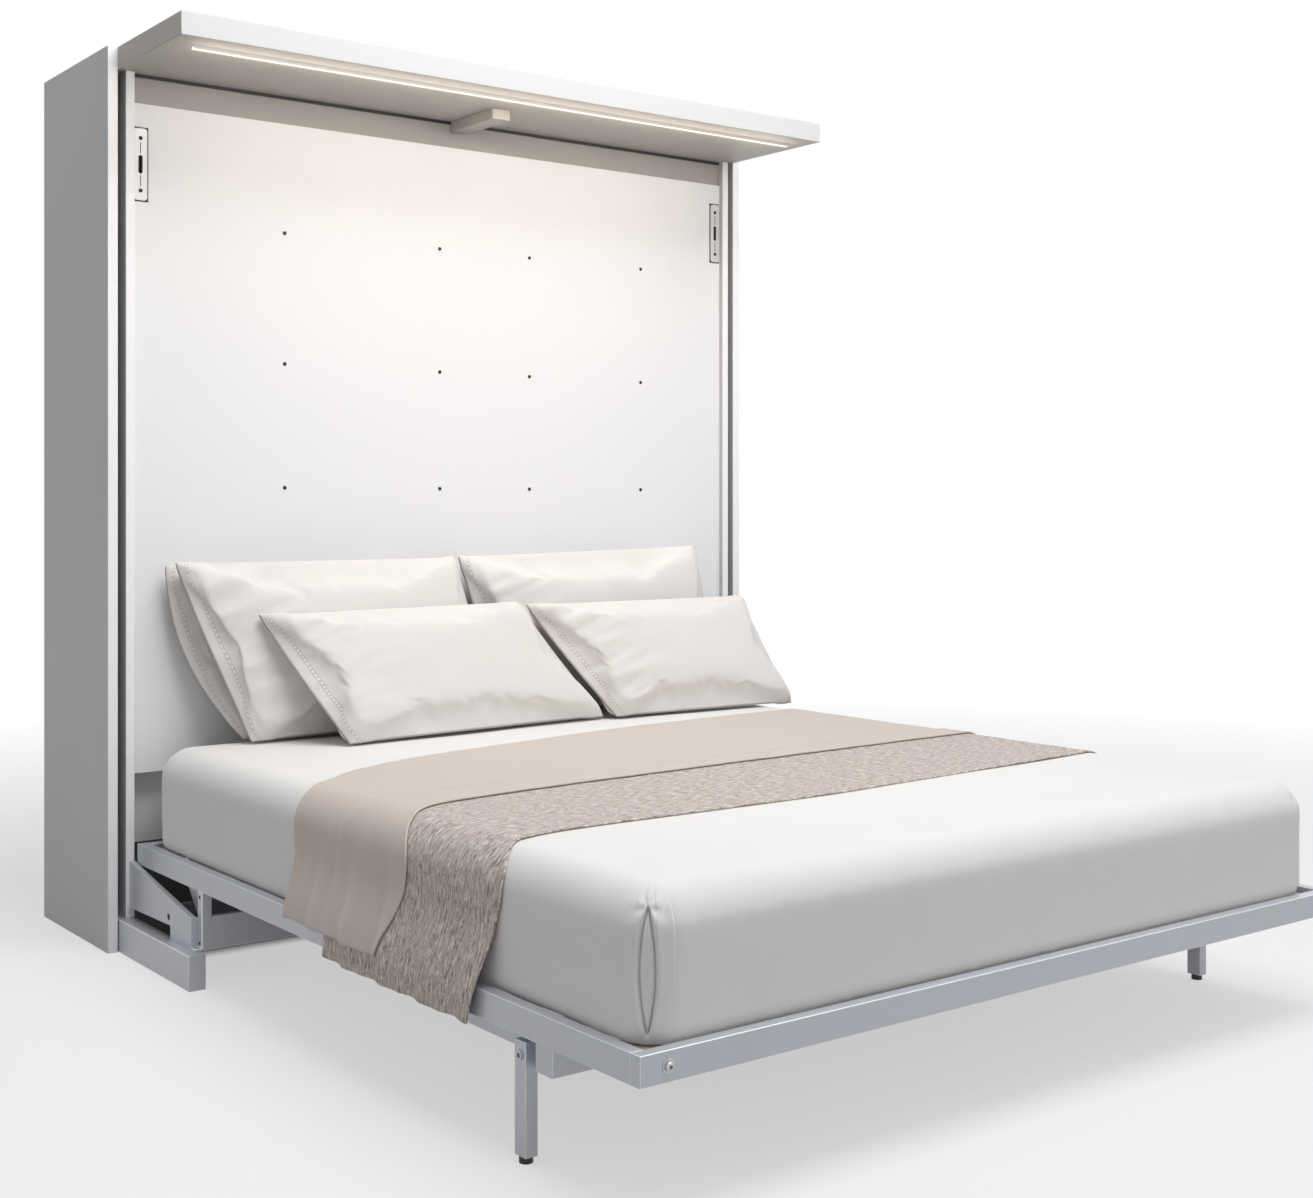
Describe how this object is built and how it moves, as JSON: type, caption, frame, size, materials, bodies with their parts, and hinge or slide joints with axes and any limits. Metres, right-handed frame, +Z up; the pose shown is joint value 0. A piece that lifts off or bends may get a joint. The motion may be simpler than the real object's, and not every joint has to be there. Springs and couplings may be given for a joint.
{
  "type": "wall bed",
  "caption": "Wall bed: a frame on folding legs tilts on two pins up into a board cabinet with a lit canopy, made up with mattress, pillows and throws.",
  "frame": {"origin": "on the floor, under the middle of the part's overall box with the bed down", "axes": "+Z up, +Y from the foot of the bed to the wall, +X to the right for someone who faces the wall"},
  "size_m": [2.01, 2.5664, 2.22],
  "materials": {
    "cabinet_board": "satin lacquer, light grey white",
    "back_board": "satin lacquer, off white",
    "frame_metal": "smooth silver grey powder coat",
    "bright_metal": "satin",
    "dark_screw": "black oxide",
    "light_diffuser": "frosted, glows warm white",
    "black_plastic": "matte",
    "slat_wood": "clear lacquered birch",
    "sheet_cotton": "smooth ivory fitted sheet",
    "pillow_cotton": "warm off white cotton",
    "plain_throw": "plain brushed beige",
    "knitted_throw": "heathered taupe knit"
  },
  "bodies": {
    "cabinet": {"left_side_panel": "cabinet_board", "right_side_panel": "cabinet_board", "left_upright": "cabinet_board", "right_upright": "cabinet_board", "header_board": "cabinet_board", "recess_shelf": "cabinet_board", "lower_back_board": "cabinet_board", "back_board": "back_board", "back_board_screws": "dark_screw", "canopy": "cabinet_board", "led_channel": "bright_metal", "led_diffuser": "light_diffuser", "canopy_bracket": "frame_metal", "rear_top_rail": "cabinet_board", "rear_bottom_rail": "cabinet_board", "left_anchor_plate": "bright_metal", "right_anchor_plate": "bright_metal", "anchor_plate_screws": "dark_screw", "left_runner": "frame_metal", "right_runner": "frame_metal", "runner_plugs": "frame_metal", "left_post": "frame_metal", "right_post": "frame_metal", "post_screws": "dark_screw", "base_beam": "frame_metal", "left_gusset": "frame_metal", "right_gusset": "frame_metal", "left_pivot_plate": "frame_metal", "right_pivot_plate": "frame_metal", "left_pivot_pin": "bright_metal", "right_pivot_pin": "bright_metal", "pivot_plate_bolts": "bright_metal"},
    "bed": {"left_side_rail": "frame_metal", "right_side_rail": "frame_metal", "head_rail": "frame_metal", "foot_rail": "frame_metal", "corner_brackets": "frame_metal", "corner_bolts": "bright_metal", "left_deck_rail": "frame_metal", "centre_deck_rail": "frame_metal", "right_deck_rail": "frame_metal", "slats": "slat_wood", "leg_cross_member": "frame_metal", "left_leg_bracket": "frame_metal", "right_leg_bracket": "frame_metal", "left_leg_pin": "bright_metal", "right_leg_pin": "bright_metal", "mattress": "sheet_cotton", "rear_left_pillow": "pillow_cotton", "middle_left_pillow": "pillow_cotton", "rear_right_pillow": "pillow_cotton", "front_left_pillow": "pillow_cotton", "front_right_pillow": "pillow_cotton", "plain_throw": "plain_throw", "knitted_throw": "knitted_throw"},
    "left_leg_body": {"left_leg": "frame_metal", "left_leg_glide": "black_plastic"},
    "right_leg_body": {"right_leg": "frame_metal", "right_leg_glide": "black_plastic"}
  },
  "joints": [
    {"name": "bed_tilt", "type": "hinge", "parent": "cabinet", "child": "bed", "pos_m": [0, 0.55325, 0.249], "axis": [-1, 0, 0], "range_deg": [0, 90], "deforming": ["rear_left_pillow", "middle_left_pillow", "rear_right_pillow", "front_left_pillow", "front_right_pillow"]},
    {"name": "left_leg_fold", "type": "hinge", "parent": "bed", "child": "left_leg_body", "pos_m": [-0.9225, -0.94175, 0.181], "axis": [1, 0, 0], "range_deg": [0, 90]},
    {"name": "right_leg_fold", "type": "hinge", "parent": "bed", "child": "right_leg_body", "pos_m": [0.9225, -0.94175, 0.181], "axis": [1, 0, 0], "range_deg": [0, 90]}
  ],
  "couplings": [
    {"joint": "left_leg_fold", "follows": "bed_tilt", "ratio": 1},
    {"joint": "right_leg_fold", "follows": "bed_tilt", "ratio": 1}
  ]
}
